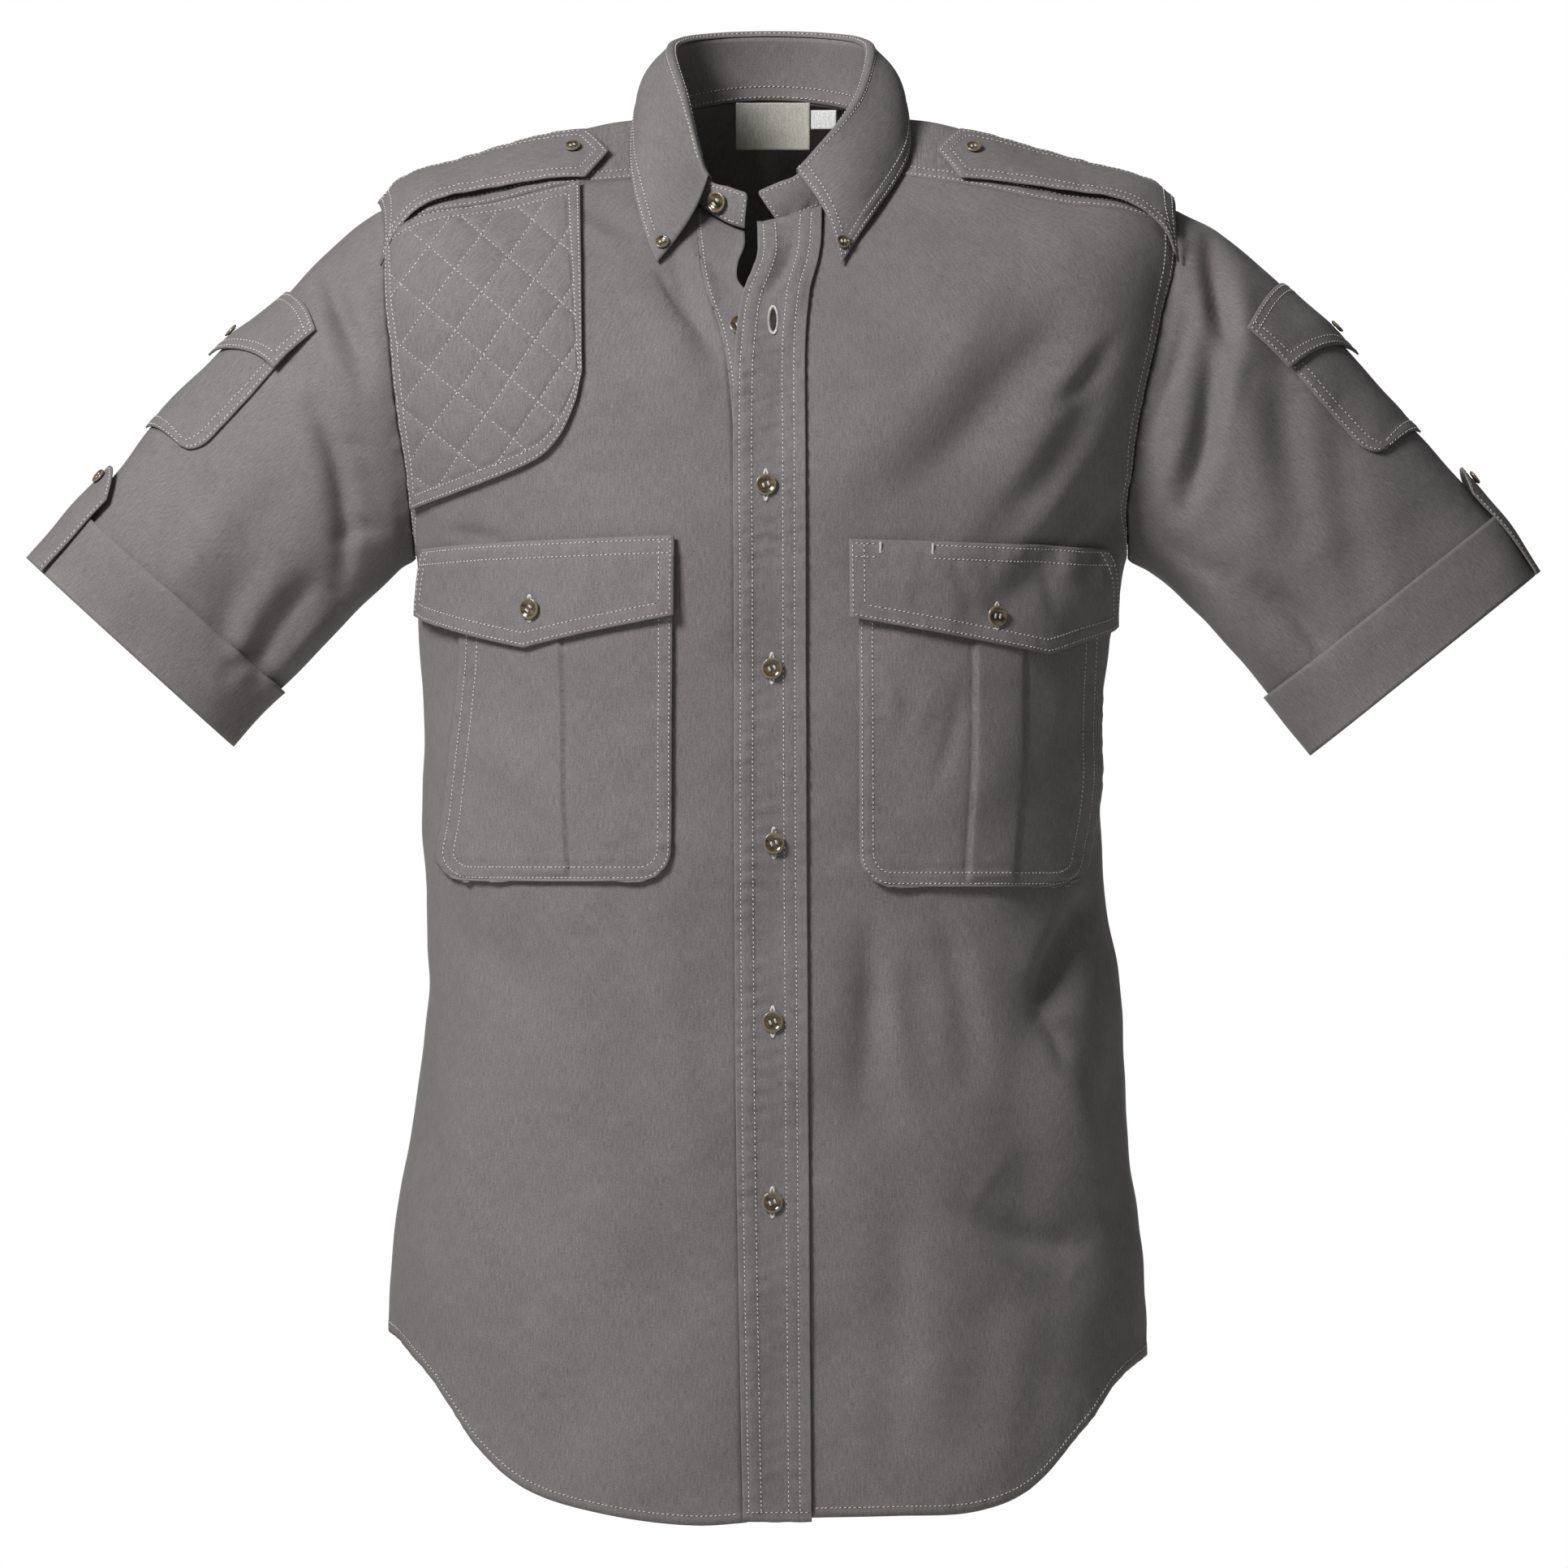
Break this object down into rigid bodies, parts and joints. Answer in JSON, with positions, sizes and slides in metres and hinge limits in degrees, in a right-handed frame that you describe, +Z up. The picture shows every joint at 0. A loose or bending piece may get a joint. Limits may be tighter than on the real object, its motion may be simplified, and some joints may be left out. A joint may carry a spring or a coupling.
{
  "type": "safari shirt",
  "caption": "Short-sleeved safari shirt in its worn shape, with a button-down collar, shoulder tabs, flapped pockets, a quilted shoulder patch and turned-up cuffs.",
  "frame": {"origin": "middle of the neck base at the height of the high points of the shoulders, where a wearer holds it", "axes": "+Z up, the front looks along -Y, +X is towards the wearer's left side"},
  "size_m": [0.7997, 0.25, 0.7897],
  "materials": {
    "shirt_cloth": "matt cotton, fine weave",
    "button_horn": "mottled horn, glossy",
    "label_cloth": "woven tape, satin",
    "tab_cloth": "woven tape, satin"
  },
  "bodies": {
    "root": {"front_right": "shirt_cloth", "front_left": "shirt_cloth", "back": "shirt_cloth", "yoke": "shirt_cloth", "button_stand": "shirt_cloth", "placket": "shirt_cloth", "collar_stand": "shirt_cloth", "collar": "shirt_cloth", "quilted_patch": "shirt_cloth", "sleeve_right": "shirt_cloth", "cuff_right": "shirt_cloth", "chest_pocket_right": "shirt_cloth", "chest_flap_right": "shirt_cloth", "epaulette_right": "shirt_cloth", "sleeve_pocket_right": "shirt_cloth", "sleeve_flap_right": "shirt_cloth", "roll_tab_right": "shirt_cloth", "sleeve_left": "shirt_cloth", "cuff_left": "shirt_cloth", "chest_pocket_left": "shirt_cloth", "chest_flap_left": "shirt_cloth", "epaulette_left": "shirt_cloth", "sleeve_pocket_left": "shirt_cloth", "sleeve_flap_left": "shirt_cloth", "roll_tab_left": "shirt_cloth", "button_placket_1": "button_horn", "button_placket_2": "button_horn", "button_placket_3": "button_horn", "button_placket_4": "button_horn", "button_placket_5": "button_horn", "button_half_hidden": "button_horn", "button_stand_end": "button_horn", "button_chest_flap_right": "button_horn", "button_collar_right": "button_horn", "button_epaulette_right": "button_horn", "button_sleeve_flap_right": "button_horn", "button_roll_tab_right": "button_horn", "button_chest_flap_left": "button_horn", "button_collar_left": "button_horn", "button_epaulette_left": "button_horn", "button_sleeve_flap_left": "button_horn", "button_roll_tab_left": "button_horn", "neck_label": "label_cloth", "size_tab": "tab_cloth"}
  },
  "joints": []
}
